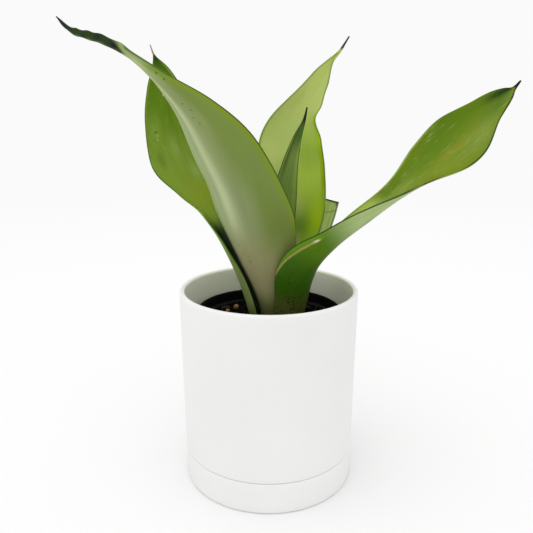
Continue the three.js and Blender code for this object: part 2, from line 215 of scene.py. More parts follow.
def pigment(code):
    """A colour given as six hex digits, as linear light."""
    value = np.array([int(code[i : i + 2], 16) for i in (0, 2, 4)]) / 255
    return np.where(value <= 0.04045, value / 12.92, ((value + 0.055) / 1.055) ** 2.4)


def wash(tone, code, share):
    """The tone taken towards the pigment by share."""
    return blend(tone, pigment(code), share)


# -------- turned ceramics
def rounded(corners, steps=7):
    """A path through (radius, height) corners, each cut by an arc of its own radius (third value).

    An arc is drawn as a quadratic curve from one tangent point to the other through the corner.
    """
    corners = np.array(corners, float)
    path = [corners[:1, :2]]
    share = np.linspace(0, 1, steps)[:, None]
    for before, here, after in zip(corners[:-2], corners[1:-1], corners[2:]):
        into, out = before[:2] - here[:2], after[:2] - here[:2]
        into, out = into / np.linalg.norm(into), out / np.linalg.norm(out)
        turn = math.acos(np.clip(into @ out, -1, 1))
        reach = here[2] / math.tan(turn / 2) if here[2] > 0 else 0
        first, last = here[:2] + into * reach, here[:2] + out * reach
        if reach == 0:
            path.append(here[None, :2])
            continue
        centre = here[:2] + (into + out) / np.linalg.norm(into + out) * here[2] / math.sin(turn / 2)
        arc = first * (1 - share) ** 2 + 2 * here[:2] * share * (1 - share) + last * share**2
        arc = centre + (arc - centre) / np.linalg.norm(arc - centre, axis=1, keepdims=True) * here[2]
        path.append(arc)
    path.append(corners[-1:, :2])
    return np.concatenate(path)


def spaced(path, most=6.0):
    """The path with its long straights cut into equal steps no longer than most."""
    pieces = []
    for a, b in zip(path[:-1], path[1:]):
        count = max(1, int(math.ceil(np.linalg.norm(b - a) / most)))
        pieces.append(a + (b - a) * np.linspace(0, 1, count, endpoint=False)[:, None])
    pieces.append(path[-1:])
    return np.concatenate(pieces)


def turn_round(path, steps=192):
    """Carries a (radius, height) path round the axis: x = r cos a, y = r sin a, z as it is."""
    angle = np.linspace(0, 2 * np.pi, steps, endpoint=False)
    radius, height = path[:, :1], path[:, 1:]
    return np.stack(
        [radius * np.cos(angle), radius * np.sin(angle), height + 0 * angle], -1
    )


def make_saucer():
    """Saucer: a shallow cup turned from the axis under the foot round to the axis on its floor."""
    rim_z = saucer_high[2]
    foot, rim = wall_radius(0), wall_radius(rim_z)
    inside = rim - SAUCER_WALL
    path = rounded(
        [
            (0, 0.8, 0),
            (foot - 10, 0.8, 0.3),
            (foot - 9, 0, 0.8),
            (foot, 0, FOOT_ROUND),
            (rim, rim_z, SEAM_ROUND),
            (inside, rim_z, SEAM_ROUND),
            (inside, SAUCER_FLOOR, FOOT_ROUND),
            (0, SAUCER_FLOOR, 0),
        ]
    )
    return skin("saucer_cup", turn_round(spaced(path)), start="point", end="point")


def make_planter():
    """Planter: a closed ring profile with its stepped foot, shoulder over the saucer, wall and lip."""
    step = wall_radius(saucer_high[2]) - SAUCER_WALL - NEST_GAP
    shoulder_z = saucer_high[2] + SEAT_GAP
    foot_z, floor_z = planter_low[2], planter_low[2] + PLANTER_FLOOR
    body_z = shoulder_z + PLANTER_WALL
    floor_inside = min(wall_radius(floor_z) - PLANTER_WALL, step - PLANTER_WALL)
    ring = [
        (DRAIN_RADIUS, floor_z, 1.2),
        (DRAIN_RADIUS, foot_z + FOOT_RECESS, 1.0),
        (step - FOOT_RING, foot_z + FOOT_RECESS, 0.8),
        (step - FOOT_RING, foot_z, 0.8),
        (step, foot_z, FOOT_ROUND),
        (step, shoulder_z, 0.5),
        (wall_radius(shoulder_z), shoulder_z, SEAM_ROUND),
        (TOP_RADIUS, POT_HEIGHT, LIP_ROUND),
        (TOP_RADIUS - PLANTER_WALL, POT_HEIGHT, LIP_ROUND),
        (wall_radius(body_z) - PLANTER_WALL, body_z, 2.0),
        (floor_inside, body_z - PLANTER_WALL, 2.0),
        (floor_inside, floor_z, FOOT_ROUND),
    ]
    path = rounded([ring[-1], *ring, ring[0]])[1:-1]
    closed = spaced(np.concatenate([path, path[:1]]))[:-1]
    return skin("planter_cylinder", turn_round(closed), ring=True)


def make_grower_pot():
    """Grower's pot wall: a thin taper with a stepped-out rim band and a rolled edge."""
    foot_z, rim_z = grower_low[2], grower_high[2]
    band_z, floor_z = rim_z - RIM_BAND, grower_low[2] + GROWER_FLOOR
    neck = GROWER_RADIUS - RIM_STEP
    path = rounded(
        [
            (grower_radius(floor_z) - GROWER_WALL, floor_z, 0),
            (grower_radius(floor_z) - GROWER_WALL, foot_z, 0),
            (grower_radius(foot_z), foot_z, 0.8),
            (neck, band_z, 0.5),
            (GROWER_RADIUS, band_z, 0.5),
            (GROWER_RADIUS, rim_z, 0.69),
            (GROWER_RADIUS - GROWER_WALL, rim_z, 0.69),
            (GROWER_RADIUS - GROWER_WALL, band_z + GROWER_WALL, 0.6),
            (neck - GROWER_WALL, band_z, 0.6),
            (grower_radius(floor_z) - GROWER_WALL, floor_z, 0),
        ]
    )
    return skin("grower_pot_wall", turn_round(spaced(path[:-1]), 160), ring=True)


def make_grower_floor():
    """Grower's pot floor: eight closed wedges that make a disc, each with one drain hole through it.

    A wedge is a ring round its hole: the bearing about the hole, and the share of the way out to
    where that bearing meets the nearest of the wedge's two sides and its outer arc.
    """
    low, high = grower_low[2], grower_low[2] + GROWER_FLOOR
    outer = grower_radius(high) - GROWER_WALL
    reach = GROWER_RADIUS - GROWER_TAPER - HOLE_INSET
    half = np.pi / HOLE_COUNT
    corner = math.atan2(outer * math.sin(half), outer * math.cos(half) - reach)
    bearing = np.concatenate(
        [np.linspace(-corner, corner, 13)[:-1], np.linspace(corner, 2 * np.pi - corner, 27)[:-1]]
    )
    ways = [np.sqrt(outer**2 - (reach * np.sin(bearing)) ** 2) - reach * np.cos(bearing)]
    for side in (-half, half):
        way = reach * math.sin(side) / np.sin(bearing - side)
        ways.append(np.where(way > 0, way, np.inf))
    far = np.min(ways, 0)
    out = HOLE_RADIUS + (far - HOLE_RADIUS) * np.array([0, 0.5, 1, 1, 0.5, 0])[:, None]
    x, y = reach + out * np.cos(bearing), out * np.sin(bearing)
    z = np.array([high, high, high, low, low, low])[:, None] + 0 * x
    turn = 2 * half * np.arange(HOLE_COUNT)[:, None, None]
    c, s = np.cos(turn), np.sin(turn)
    points = np.stack([x * c - y * s, x * s + y * c, z + 0 * turn], -1)
    number = np.arange(points[..., 0].size).reshape(points.shape[:3])
    above = np.roll(number, -1, 1)
    quads = np.stack([number, np.roll(number, -1, 2), np.roll(above, -1, 2), above], -1).reshape(-1, 4)
    return knit("grower_pot_floor", points.reshape(-1, 3), quads)


def dome(steps_up=20, steps_round=36):
    """Directions over a whole ball: rows of latitude from the lower pole to the upper one."""
    up = np.linspace(-np.pi / 2, np.pi / 2, steps_up)[:, None]
    turn = np.linspace(0, 2 * np.pi, steps_round, endpoint=False)
    return np.stack([np.cos(up) * np.cos(turn), np.cos(up) * np.sin(turn), np.sin(up) + 0 * turn], -1)


# -------- soil
def make_soil():
    """Potting soil: a mound with two sizes of lump on top, a straight tapered side and a flat floor."""
    radius = np.linspace(0, 1, 90) ** 0.8 * SOIL_RADIUS
    top = turn_round(np.stack([radius, soil_height(radius)], 1), 220)
    fade = (1 - (radius / SOIL_RADIUS) ** 8)[:, None]
    rough = 0.9 * lumps(top, 9, 3) + 0.55 * lumps(top, 3.6, 4) + 0.3 * lumps(top, 1.7, 5)
    top[..., 2] += rough * fade - 0.5
    side = rounded(
        [
            (SOIL_RADIUS, SOIL_EDGE - 0.5, 0),
            (grower_radius(soil_low[2]) - GROWER_WALL - 0.3, soil_low[2], 1.0),
            (0, soil_low[2], 0),
        ]
    )
    grid = np.concatenate([top, turn_round(spaced(side[1:], 12), 220)])
    return skin("soil_mound", grid, start="point", end="point")


def scatter(name, count, seed, sizes, spread=(0.0, 0.985), flatten=0.7, lift=0.3):
    """Crumbs on the soil: a jittered ball of few faces, repeated with its own size, turn and place.

    Radius is the square root of an even draw, so that the cover is even over the disc.
    """
    random = np.random.default_rng(seed)
    ball = dome(5, 7)
    rows, columns = ball.shape[:2]
    size = np.exp(random.normal(math.log(sizes[0]), 0.32, count)).clip(sizes[0] * 0.5, sizes[1])
    knob = 1 + 0.25 * random.normal(size=(count, rows, columns, 1))
    knob[:, 0] = knob[:, 0, :1]
    knob[:, -1] = knob[:, -1, :1]
    shape = ball * knob * size[:, None, None, None] / 2
    long, thin = random.uniform(0.8, 1.5, count), random.uniform(flatten, 1, count)
    shape = shape * np.stack([long, np.ones(count), thin], 1)[:, None, None]
    turn = random.uniform(0, 2 * np.pi, count)
    tilt = random.normal(0, 0.5, count)
    ct, st = np.cos(tilt)[:, None, None], np.sin(tilt)[:, None, None]
    x, z = shape[..., 0] * ct - shape[..., 2] * st, shape[..., 0] * st + shape[..., 2] * ct
    ca, sa = np.cos(turn)[:, None, None], np.sin(turn)[:, None, None]
    x, y = x * ca - shape[..., 1] * sa, x * sa + shape[..., 1] * ca
    out = SOIL_RADIUS * np.sqrt(random.uniform(spread[0] ** 2, spread[1] ** 2, count)) - size / 2
    around = random.uniform(0, 2 * np.pi, count)
    up = soil_height(out) + size * lift - 0.6
    middle = np.stack([out * np.cos(around), out * np.sin(around), up], 1)
    points = np.stack([x, y, z], -1) + middle[:, None, None]
    number = np.arange(count * rows * columns).reshape(count, rows, columns)
    number[:, 0] = number[:, 0, :1]
    number[:, -1] = number[:, -1, :1]
    a, b = number[:, :-1], number[:, 1:]
    quads = np.stack([a, np.roll(a, -1, 2), np.roll(b, -1, 2), b], -1).reshape(-1, 4)
    tint = np.broadcast_to(random.uniform(0, 1, count)[:, None, None], (count, rows, columns))
    return knit(name, points.reshape(-1, 3), quads, {"crumb_tint": tint.reshape(-1)}, crease=70)


def make_pebble(name, node, size, turn, seed, rough, square=1.0):
    """A prill, chip or grain: a ball with its directions squared off, lumped, scaled and turned."""
    low, high = box_mm(node)
    ball = dome(26, 40)
    ball = np.sign(ball) * np.abs(ball) ** square
    wide, fine = 1 + rough * lumps(ball, 1.1, seed), 1 + rough * 0.4 * lumps(ball, 0.4, seed + 1)
    ball *= (wide * fine)[..., None]
    shape = ball * np.array(size) / 2
    c, s = math.cos(math.radians(turn)), math.sin(math.radians(turn))
    x, y, z = np.moveaxis(shape, -1, 0)
    shape = np.stack([x * c - y * s, x * s + y * c, z], -1)
    return skin(name, shape + (low + high) / 2, start="point", end="point", crease=180)


def make_twig():
    """Dry twig: a tapered, slightly knotty tube along the line between its box's far corners."""
    low, high = box_mm("dry_twig")
    foot = np.array([low[0] + 0.7, low[1] + 0.6, low[2] + 0.6])
    tip = np.array([high[0] - 0.5, high[1] - 0.4, high[2] - 0.5])
    t = np.linspace(0, 1, 40)[:, None]
    turn = np.linspace(0, 2 * np.pi, 18, endpoint=False)
    line = tip - foot
    way = line / np.linalg.norm(line)
    side = np.cross(way, [0, 0, 1.0])
    side /= np.linalg.norm(side)
    up = np.cross(side, way)
    radius = (0.8 - 0.32 * t) * (1 + 0.12 * np.cos(9 * t + 2 * np.cos(turn)) + 0.08 * np.cos(5 * turn))
    radius = radius * np.sqrt(np.clip(1 - (2 * t - 1) ** 14, 0, 1))
    bow = 0.35 * np.sin(np.pi * t)
    middle = foot + line * t + up * bow
    way_out = np.cos(turn)[:, None] * side + np.sin(turn)[:, None] * up
    grid = middle[:, None] + radius[..., None] * way_out
    return skin("twig", grid, start="point", end="point")


# -------- leaves
# A station is (x, y, z above the leaf base, half width, inner face's azimuth and elevation, roll of
# each half). A bump is (share of the length, span, side, how far the margin goes out).
LEAVES = {
    "leaf_front_silver": {
        "thick": (3.0, 2.0, 1.0),
        "bumps": [
            (0.44, 0.06, -1, 2), (0.9, 0.02, -1, 1.3),
            (0.84, 0.015, -1, 0.8), (0.79, 0.02, -1, 1),
            (0.72, 0.02, -1, 1),
        ],
        "stations": [
            (2, -4, 0, 12, 60, 0, 80), (-2, -8, 27, 19, 58, 10, 75),
            (-10, -14, 55, 31, 58, 15, 66), (-17, -22, 82, 36, 60, 20, 55),
            (-23, -31, 107, 31, 64, 20, 50), (-32, -38, 130, 24, 72, 20, 46),
            (-45, -43, 153, 14, 80, 20, 42), (-61, -45, 170.5, 6, 86, 20, 42),
            (-77, -47, 184, 2.6, 90, 25, 55), (-90, -49, 191.5, 3.1, 75, 40, 60),
            (-102, -50, 195.5, 3.3, 60, 50, 60), (-111, -51, 198.5, 1.7, 70, 40, 50),
            (-119, -52, 206, 0.4, 90, 20, 20),
        ],
    },
    "leaf_left_back": {
        "thick": (3.0, 2.0, 1.0),
        "bumps": [(0.42, 0.05, -1, 3.5), (0.31, 0.025, -1, -2), (0.68, 0.08, 1, 1.5)],
        "stations": [
            (-9, 5, 0, 12, -20, 0, 80), (-16, 8, 27, 17, -22, 5, 72),
            (-25, 13, 53, 21, -28, 10, 60), (-36, 18, 78, 24, -36, 20, 50),
            (-52, 24, 102, 24, -50, 25, 38), (-65, 29, 126, 24, -64, 20, 30),
            (-72, 32, 149, 19, -72, 15, 28), (-76, 34, 171, 12, -75, 10, 25),
            (-78, 34.6, 183.5, 6.2, -78, 10, 22), (-81, 35.3, 192.5, 1.3, -80, 10, 15),
            (-82.5, 35.6, 196.5, 0.6, -80, 10, 12), (-84, 36, 201, 0.4, -80, 10, 10),
        ],
    },
    "leaf_right_back": {
        "thick": (3.0, 2.0, 1.0),
        "bumps": [
            (0.59, 0.04, 1, -6), (0.66, 0.03, 1, -1.5),
            (0.64, 0.06, -1, -2), (0.48, 0.06, -1, 1.5),
        ],
        "stations": [
            (12, 14, 0, 11, -95, 0, 70), (15, 18, 32, 15, -92, 5, 70),
            (18, 24, 60, 20, -92, 5, 65), (20, 28, 87, 26, -95, 5, 60),
            (18, 32, 112, 27, -97, 5, 52), (18, 35, 135, 24, -100, 5, 45),
            (25, 37, 156, 17, -95, 5, 38), (36.5, 39, 178, 7.8, -90, 5, 30),
            (44, 40, 190, 2.4, -90, 5, 20), (50.5, 40, 197, 1.1, -90, 5, 10),
            (57, 40, 207, 0.5, -90, 5, 10),
        ],
    },
    "leaf_young_centre": {
        "thick": (2.2, 1.6, 0.9),
        "bumps": [],
        "stations": [
            (7, 5, 0, 5, -80, 0, 60), (7, 5, 37, 8, -80, 0, 60),
            (8, 6, 67, 10, -80, 0, 55), (10, 8, 95, 10, -80, 0, 50),
            (14, 9, 118, 6.6, -80, 0, 45), (19, 10, 136, 3.5, -85, 0, 40),
            (24, 10, 149, 1.2, -90, 0, 20), (26, 10, 158, 0.5, -90, 0, 10),
        ],
    },
    "leaf_right_arching": {
        "thick": (3.0, 2.0, 1.0),
        "bumps": [
            (0.56, 0.05, 1, 3), (0.69, 0.08, 1, -3),
            (0.37, 0.07, -1, -5.5), (0.78, 0.07, -1, 2),
        ],
        "stations": [
            (17, -13, 0, 15, 118, 0, 85), (19, -18, 27, 17, 118, 5, 80),
            (26, -24, 50, 22, 124, 25, 80), (44, -24, 69, 18, 148, 45, 75),
            (66, -19, 85.5, 18, 178, 50, 66), (90, -11, 104, 15, 212, 45, 44),
            (111, -5, 120, 21, 228, 35, 40), (131, 0, 137, 22.5, 238, 25, 28),
            (148, 3, 155, 12, 242, 20, 22), (159, 4, 166, 5, 240, 20, 18),
            (163, 4, 170, 1.6, 235, 20, 15), (167, 4, 175, 0.6, 235, 20, 10),
        ],
    },
    "leaf_cut_stub": {
        "thick": (2.4, 1.8, 1.2),
        "bumps": [],
        "stations": [
            (23, 18, 0, 8, 215, 0, 60), (30, 27, 32, 11, 215, 0, 55),
            (39, 33, 60, 12, 217, 0, 50), (45, 37, 77, 10, 220, 0, 45),
            (49, 39, 90, 8, 220, 0, 40),
        ],
    },
}


def through(rows, t):
    """A smooth curve through the rows: uniform Catmull-Rom, with the end rows carried on straight."""
    rows = np.vstack([2 * rows[0] - rows[1], rows, 2 * rows[-1] - rows[-2]])
    last = len(rows) - 3
    place = np.clip(t * last, 0, last - 1e-9)
    i = np.floor(place).astype(int)
    w = (place - i)[:, None]
    a, b, c, d = rows[i], rows[i + 1], rows[i + 2], rows[i + 3]
    square, cube = 2 * a - 5 * b + 4 * c - d, 3 * b - a - 3 * c + d
    return 0.5 * (2 * b + (c - a) * w + square * w**2 + cube * w**3)


def unit(v):
    return v / np.linalg.norm(v, axis=-1, keepdims=True)


class Blade:
    """One leaf as a grid: t runs along it, and the angle round its section gives s, -1 to 1 across.

    The middle surface is the spine point, plus side times half/roll times sin(roll s), plus inner
    times half/roll times (1 - cos(roll s)). The two faces stand half the thickness off it, which is
    greatest at the midrib, and the margins are rounded.
    """

    def __init__(self, name, along=240, around=116):
        leaf = LEAVES[name]
        rows = np.array(leaf["stations"], float)
        self.name = name
        t = np.linspace(0, 1, along)
        turn = np.linspace(0, 2 * np.pi, around, endpoint=False)
        self.t, self.s = np.meshgrid(t, np.cos(turn), indexing="ij")
        self.face = np.broadcast_to(np.sin(turn), self.t.shape)  # over 0 on the inner face
        sized = through(rows, t)
        spine = sized[:, :3]
        ahead, behind = np.minimum(t + 1e-3, 1), np.maximum(t - 1e-3, 0)
        tangent = unit(through(rows[:, :3], ahead) - through(rows[:, :3], behind))
        azimuth, tilt, roll = np.radians(sized[:, 4:7]).T
        level = np.cos(tilt)
        inner = np.stack([np.cos(azimuth) * level, np.sin(azimuth) * level, np.sin(tilt)], 1)
        inner = unit(inner - (inner * tangent).sum(1, keepdims=True) * tangent)
        side = np.cross(tangent, inner)
        self.spine, self.inner, self.side = (v[:, None] for v in (spine, inner, side))
        self.half = np.maximum(sized[:, 3], 0.05)[:, None]
        self.roll = roll[:, None]
        steps = np.linalg.norm(np.diff(spine, axis=0), axis=1)
        self.length = np.concatenate([[0], np.cumsum(steps)])[:, None]
        base, tip, margin = leaf["thick"]
        s = self.s
        midrib = base + (tip - base) * self.t
        self.thick = margin + (midrib - margin) * (1 - s**2)
        self.edge = margin / 2
        self.bumps = leaf["bumps"]
        self.run = self.length + 0 * s
        self.reach = s * self.half  # millimetres from the midrib, round the blade
        self.to_margin = (1 - np.abs(s)) * self.half

    def grid(self, push=0.0, taper=0.035):
        """The blade's points. push moves both faces along the inner way, taper is the tip's rounding."""
        s, half, roll = self.s, self.half, self.roll
        angle = roll * s
        across = half / roll * np.sin(angle)
        rise = half / roll * (1 - np.cos(angle))
        for where, span, side, far in self.bumps:
            across = across + side * far * bell(self.t, where, span) * np.maximum(s * side, 0) ** 2
        rim = np.clip(self.edge / half, 0, 1)
        nose = np.clip((np.abs(s) - (1 - rim)) / rim, 0, 1)
        point = np.sqrt(np.clip((1 - self.t) / taper, 0, 1)) if taper else 1
        lift = np.sign(self.face) * self.thick / 2 * np.sqrt(1 - nose**2) * point + push
        across = across - lift * np.sin(angle)
        rise = rise + lift * np.cos(angle)
        grid = self.spine + across[..., None] * self.side + rise[..., None] * self.inner
        grid[..., 2] += LEAF_BASE
        return grid

    def spot(self, t, s, along, across):
        """A soft oval on the blade: 1 at (t, s), fading over its reach along and across."""
        return bell(self.t, t, along) * bell(self.s, s, across)

    def paint(self, tone, strokes, face):
        """Lays strokes (colour, t, s, reach along, reach across, share) on one face, in their order."""
        for colour, t, s, along, across, share in strokes:
            tone = blend(tone, pigment(colour), self.spot(t, s, along, across) * share * face)
        return tone

    def body(self, grid, tone):
        """The closed mesh, with its pigment and place on the blade as point attributes."""
        first, last = (row.mean(1, keepdims=True) + 0 * row for row in (grid[:1], grid[-1:]))
        grid = np.concatenate([first, grid, last])
        place = np.stack([self.reach, self.run, np.sign(self.face) * 5], -1) * MM

        def ends(values):
            return np.concatenate([values[:1], values, values[-1:]])

        marks = {"blade_tone": ends(tone), "blade_place": ends(place)}
        name = self.name.replace("leaf_", "blade_")
        return skin(name, grid, start="point", end="point", marks=marks, crease=180)


# -------- finishes
class Finish:
    """A material's node tree, with a short call for each node."""

    def __init__(self, name):
        self.material = bpy.data.materials.new(name)
        self.material.use_nodes = True
        self.tree = self.material.node_tree
        self.tree.nodes.clear()
        self.out = self.tree.nodes.new("ShaderNodeOutputMaterial")
        self.shader = self.tree.nodes.new("ShaderNodeBsdfPrincipled")
        self.tree.links.new(self.shader.outputs[0], self.out.inputs[0])

    def put(self, kind, inputs=None, **settings):
        """A node with its settings; an input is a value, or another node's socket to link."""
        node = self.tree.nodes.new("ShaderNode" + kind)
        for name, value in settings.items():
            setattr(node, name, value)
        for name, value in (inputs or {}).items():
            self.feed(node.inputs[name], value)
        return node

    def feed(self, socket, value):
        if isinstance(value, bpy.types.NodeSocket):
            self.tree.links.new(value, socket)
        elif socket.type == "RGBA" and len(value) == 3:
            socket.default_value = (*value, 1)
        else:
            socket.default_value = value

    def object_place(self):
        return self.put("TexCoord").outputs["Object"]

    def mark(self, name, output="Vector"):
        return self.put("Attribute", attribute_name=name).outputs[output]

    def stretched(self, place, scale):
        return self.put("Mapping", {"Vector": place, "Scale": scale}).outputs[0]

    def noise(self, place, scale, detail=2.0, rough=0.5):
        inputs = {"Vector": place, "Scale": scale, "Detail": detail, "Roughness": rough}
        return self.put("TexNoise", inputs).outputs["Fac"]

    def ramp(self, value, low, high, start=0.0, end=1.0):
        inputs = {"Value": value, "From Min": low, "From Max": high, "To Min": start, "To Max": end}
        return self.put("MapRange", inputs).outputs[0]

    def maths(self, operation, a, b=0.0):
        return self.put("Math", {0: a, 1: b}, operation=operation).outputs[0]

    def vectors(self, operation, a, b):
        return self.put("VectorMath", {0: a, 1: b}, operation=operation).outputs[0]

    def far(self, vector):
        """The length of a vector."""
        return self.put("VectorMath", {0: vector}, operation="LENGTH").outputs["Value"]

    def mix(self, share, a, b, way="MIX"):
        node = self.put("Mix", data_type="RGBA", blend_type=way)
        self.feed(node.inputs[0], share)
        self.feed(node.inputs[6], a)
        self.feed(node.inputs[7], b)
        return node.outputs[2]

    def bump(self, height, distance, strength=1.0, under=None):
        inputs = {"Height": height, "Distance": distance, "Strength": strength}
        if under is not None:
            inputs["Normal"] = under
        return self.put("Bump", inputs).outputs[0]

    def give(self, **inputs):
        """Feeds the shader's own sockets; an underscore stands for a space."""
        for name, value in inputs.items():
            self.feed(self.shader.inputs[name.replace("_", " ")], value)
        return self.material


def glaze_finish():
    """Matt white glaze: near-flat white, a faint orange-peel and slow unevenness, silky sheen. Nearer
    the axis than the lip's inner edge it is painted paler, as painted light on the pot's shaded inside.
    """
    f = Finish("satin_white_glaze")
    place = f.object_place()
    cloud = f.noise(place, 14, 3)
    speck = f.noise(place, 900, 2)
    colour = f.mix(f.ramp(cloud, 0.35, 0.65), pigment("e7e7e6"), pigment("eaeae9"))
    colour = f.mix(f.ramp(speck, 0.68, 0.8, 0, 0.25), colour, pigment("dcdad6"))
    apart = f.far(f.stretched(place, (1, 1, 0)))
    # painted light: the glaze on the pot's inside, nearer the axis than the lip's inner edge, is painted
    # paler
    painted_light_inside = f.ramp(apart, (TOP_RADIUS - 3.2) * MM, (TOP_RADIUS - 2.2) * MM, 1, 0)
    colour = f.mix(painted_light_inside, colour, pigment("fdfdee"))
    normal = f.bump(f.noise(place, 420, 3), 0.00012, 0.5)
    normal = f.bump(f.noise(place, 60, 2), 0.0003, 0.25, normal)
    rough = f.ramp(f.noise(place, 150, 3), 0.3, 0.7, 0.4, 0.5)
    return f.give(Base_Color=colour, Roughness=rough, Normal=normal, Specular_IOR_Level=0.35)


def grower_finish():
    """Black thermoformed plastic: low gloss, fine scuffs round the rim and dried splashes."""
    f = Finish("black_grower_plastic")
    place = f.object_place()
    dust = f.ramp(f.noise(place, 90, 5, 0.65), 0.52, 0.75, 0, 0.5)
    scuff = f.ramp(f.noise(f.stretched(place, (1, 1, 14)), 120, 3), 0.6, 0.7, 0, 0.35)
    colour = f.mix(dust, pigment("050505"), pigment("100e0c"))
    colour = f.mix(scuff, colour, pigment("161617"))
    rough = f.ramp(f.noise(place, 260, 3), 0.3, 0.7, 0.5, 0.65)
    normal = f.bump(f.noise(place, 700, 2), 0.0001, 0.6)
    return f.give(Base_Color=colour, Roughness=rough, Normal=normal, Specular_IOR_Level=0.15)


def soil_finish():
    """Damp peat mix: near black with brown fibre flecks and a crumbly grain."""
    f = Finish("damp_potting_mix")
    place = f.object_place()
    grain = f.noise(place, 700, 5, 0.7)
    colour = f.mix(f.ramp(grain, 0.4, 0.7), pigment("040302"), pigment("120b06"))
    fibre = f.noise(f.stretched(place, (1, 6, 2)), 380, 3)
    colour = f.mix(f.ramp(fibre, 0.66, 0.74, 0, 0.6), colour, pigment("2e1e0f"))
    normal = f.bump(grain, 0.0008, 0.9)
    return f.give(Base_Color=colour, Roughness=0.95, Specular_IOR_Level=0.05, Normal=normal)


def crumb_finish():
    """Crumbs of the same mix: each has its own tint from black peat to reddish bark."""
    f = Finish("soil_crumbs")
    place = f.object_place()
    tint = f.mark("crumb_tint", "Fac")
    colour = f.mix(f.ramp(tint, 0.5, 0.95), pigment("040302"), pigment("1c1109"))
    colour = f.mix(f.ramp(tint, 0.975, 0.98), colour, pigment("7a4f1e"))
    grain = f.noise(place, 1500, 3)
    colour = f.mix(f.ramp(grain, 0.4, 0.7, 0, 0.5), colour, pigment("0e0906"))
    normal = f.bump(grain, 0.0003, 0.8)
    return f.give(Base_Color=colour, Roughness=0.9, Specular_IOR_Level=0.08, Normal=normal)


def rhizome_finish():
    """Rhizome and roots: orange-tan skin with darker rings and root hairs."""
    f = Finish("rhizome_skin")
    place = f.object_place()
    rings = f.noise(f.stretched(place, (8, 2, 1)), 120, 3)
    colour = f.mix(f.ramp(rings, 0.4, 0.65), pigment("c98f4a"), pigment("8a5a2a"))
    return f.give(Base_Color=colour, Roughness=0.75, Normal=f.bump(rings, 0.0006, 0.7))


def grain_finish(name, light, dark, scale, roughness, depth=0.0002, sheen=0.5):
    """Prills, bark and perlite: two tones in a grain of the given scale, with its relief."""
    f = Finish(name)
    place = f.object_place()
    grain = f.noise(place, scale, 4, 0.6)
    colour = f.mix(f.ramp(grain, 0.35, 0.65), pigment(dark), pigment(light))
    normal = f.bump(grain, depth, 0.8)
    return f.give(Base_Color=colour, Roughness=roughness, Specular_IOR_Level=sheen, Normal=normal)


def leaf_finish(name, leaf, streak, depth, scratch=0.0, sheen=0.2, dirt=0.0, specks=()):
    """Leaf skin: the blade's own pigment, lengthwise streaks, fine veins and a waxy sheen.

    blade_place is (across, along, face) in metres on the blade, so the veins follow it round. Scratches
    lie on the inner face only, and dirt is the length in millimetres of the spattered base. A speck is
    (share of the length, share of the half width, size in millimetres, colour).
    """
    f = Finish(name)
    place = f.mark("blade_place")
    tone = f.mark("blade_tone", "Color")
    deep = f.mix(1.0, tone, streak, "MULTIPLY")
    wide = f.noise(f.stretched(place, (1, 0.06, 1)), 260, 3, 0.55)
    fine = f.noise(f.stretched(place, (1, 0.03, 1)), 1300, 2, 0.6)
    patch = f.noise(f.stretched(place, (1, 0.45, 1)), 55, 3, 0.55)
    colour = f.mix(f.ramp(wide, 0.35, 0.68, 0, depth), tone, deep)
    colour = f.mix(f.ramp(fine, 0.4, 0.7, 0, 0.2), colour, deep)
    pale = f.mix(1.0, tone, (1.3, 1.22, 1.1), "MULTIPLY")
    colour = f.mix(f.ramp(patch, 0.3, 0.7, 0, 0.25), colour, pale)
    part = f.put("SeparateXYZ", {0: place})
    if scratch:
        scuff = f.noise(f.stretched(place, (1, 0.1, 1)), 1100, 3, 0.5)
        where = f.ramp(f.noise(place, 70, 2), 0.42, 0.6)
        mask = f.maths("MULTIPLY", f.ramp(scuff, 0.56, 0.7, 0, scratch), where)
        mask = f.maths("MULTIPLY", mask, f.ramp(part.outputs[2], -0.004, 0.004))
        colour = f.mix(mask, colour, pigment("b4c07c"))
    if dirt:
        spatter = f.ramp(f.noise(f.stretched(place, (1, 0.8, 1)), 620, 3, 0.6), 0.6, 0.66, 0, 0.85)
        low = f.ramp(part.outputs[1], dirt * MM * 0.3, dirt * MM, 1, 0)
        colour = f.mix(f.maths("MULTIPLY", spatter, low), colour, pigment("141408"))
    blade = Blade(leaf, 201, 8)
    for t, s, size, shade in specks:
        along = blade.length[round(t * 200), 0]
        across = s * blade.half[round(t * 200), 0]
        away = f.vectors("SUBTRACT", place, (across * MM, along * MM, 0))
        flat = f.vectors("MULTIPLY", away, (1, 0.6, 0))
        wobble = f.ramp(f.noise(place, 900, 2), 0, 1, 0.6, 1.4)
        span = f.maths("MULTIPLY", f.far(flat), wobble)
        colour = f.mix(f.ramp(span, size * MM * 0.35, size * MM * 0.65, 0.85, 0), colour, pigment(shade))
    pores = f.noise(f.stretched(place, (1, 0.6, 1)), 2300, 2)
    normal = f.bump(fine, 0.00012, 0.45)
    normal = f.bump(wide, 0.0003, 0.3, normal)
    normal = f.bump(pores, 0.00005, 0.5, normal)
    rough = f.ramp(patch, 0.3, 0.7, 0.42, 0.52)
    return f.give(Base_Color=colour, Roughness=rough, Normal=normal, Specular_IOR_Level=sheen)


# -------- pots and soil
glaze, grower_plastic = glaze_finish(), grower_finish()
dress(make_saucer(), glaze, "ceramic", "saucer")
dress(make_planter(), glaze, "ceramic", "planter")
dress(make_grower_pot(), grower_plastic, "black_plastic", "nursery_pot")
dress(make_grower_floor(), grower_plastic, "black_plastic", "nursery_pot")

crumbs = crumb_finish()
dress(make_soil(), soil_finish(), "soil", "potting_soil")
dress(scatter("soil_crumbs_fine", 1500, 11, (1.5, 2.6)), crumbs, "soil")
dress(scatter("soil_crumbs_coarse", 260, 12, (3.0, 5.5), lift=0.2), crumbs, "soil")

